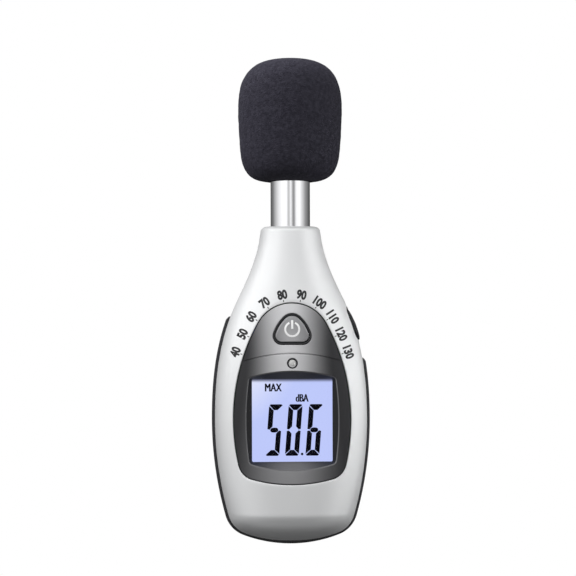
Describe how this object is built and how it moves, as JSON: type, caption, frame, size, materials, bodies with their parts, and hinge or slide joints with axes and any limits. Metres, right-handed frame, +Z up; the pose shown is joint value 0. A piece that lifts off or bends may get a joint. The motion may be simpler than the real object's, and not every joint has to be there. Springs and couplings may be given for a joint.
{
  "type": "sound level meter",
  "caption": "Hand-held sound level meter with a backlit display, a power button, a rubber side grip, and a barrel microphone under a foam windscreen.",
  "frame": {"origin": "centre of the mouth of the tripod socket, on the flat back of the meter", "axes": "+Z up along the microphone, +Y out of the back, so that the display faces -Y, and +X to the right as the display is read"},
  "size_m": [0.053, 0.035, 0.1625],
  "materials": {
    "silver_paint": "satin metallic silver lacquer on moulded plastic",
    "dark_shell": "fine spark-textured dark plastic",
    "grip_rubber": "satin black rubber",
    "panel_paint": "satin dark grey lacquer",
    "window": "clear polished",
    "lcd": "lit display, pale blue with dark digits",
    "backlight": "satin diffuser",
    "elastomer": "silicone",
    "button_paint": "satin grey with a pale symbol",
    "seal_rubber": "matt black",
    "switch_black": "moulded",
    "plunger": "moulded",
    "side_button": "satin black",
    "led_lens": "water-clear diffused lens",
    "tube_metal": "polished, faint turning marks",
    "capsule_metal": "satin",
    "lead_yellow": "insulated wire",
    "foam": "open-cell foam, matt",
    "board_green": "solder mask over glass-fibre board",
    "chip_black": "moulded epoxy",
    "capacitor": "can with dark sleeve",
    "trimmer_blue": "moulded",
    "screw_steel": "zinc plated",
    "battery_sleeve": "printed metal sleeve, plain",
    "lead_red": "insulated wire",
    "lead_black": "insulated wire",
    "pad_foam": "closed-cell foam",
    "insert_brass": "turned"
  },
  "bodies": {
    "housing": {"front_shell": "silver_paint", "rear_shell": "dark_shell", "grip_band": "grip_rubber", "display_panel": "panel_paint", "display_window": "window", "lcd_glass": "lcd", "lcd_backlight": "backlight", "zebra_strip": "elastomer", "power_seal": "seal_rubber", "power_switch": "switch_black", "side_switch": "switch_black", "status_led": "led_lens", "led_ring": "seal_rubber", "microphone_tube": "tube_metal", "microphone_capsule": "capsule_metal", "microphone_grid": "tube_metal", "microphone_leads": "lead_yellow", "neck_seal": "seal_rubber", "circuit_board": "board_green", "processor": "chip_black", "amplifier_chip": "chip_black", "capacitors": "capacitor", "crystal": "capsule_metal", "level_trimmer": "trimmer_blue", "board_screws": "screw_steel", "battery": "battery_sleeve", "battery_snap": "switch_black", "battery_lead_plus": "lead_red", "battery_lead_minus": "lead_black", "case_screws": "screw_steel", "tripod_insert": "insert_brass"},
    "power_button": {"power_button": "button_paint", "power_plunger": "plunger"},
    "side_button": {"side_button": "side_button", "side_plunger": "plunger"},
    "windscreen": {"windscreen": "foam"},
    "battery_door": {"battery_door": "dark_shell", "door_pad": "pad_foam"}
  },
  "joints": [
    {"name": "power_button_press", "type": "slide", "parent": "housing", "child": "power_button", "axis": [0, 1, 0], "range_m": [0, 0.0006], "stiffness_N_per_m": 800, "springref_m": -0.0004},
    {"name": "side_button_press", "type": "slide", "parent": "housing", "child": "side_button", "axis": [-1, 0, 0], "range_m": [0, 0.0005], "stiffness_N_per_m": 800, "springref_m": -0.0004},
    {"name": "windscreen_pull", "type": "slide", "parent": "housing", "child": "windscreen", "axis": [0, 0, 1], "range_m": [0, 0.03]},
    {"name": "battery_door_lift", "type": "slide", "parent": "housing", "child": "battery_door", "axis": [0, 1, 0], "range_m": [0, 0.025]}
  ]
}
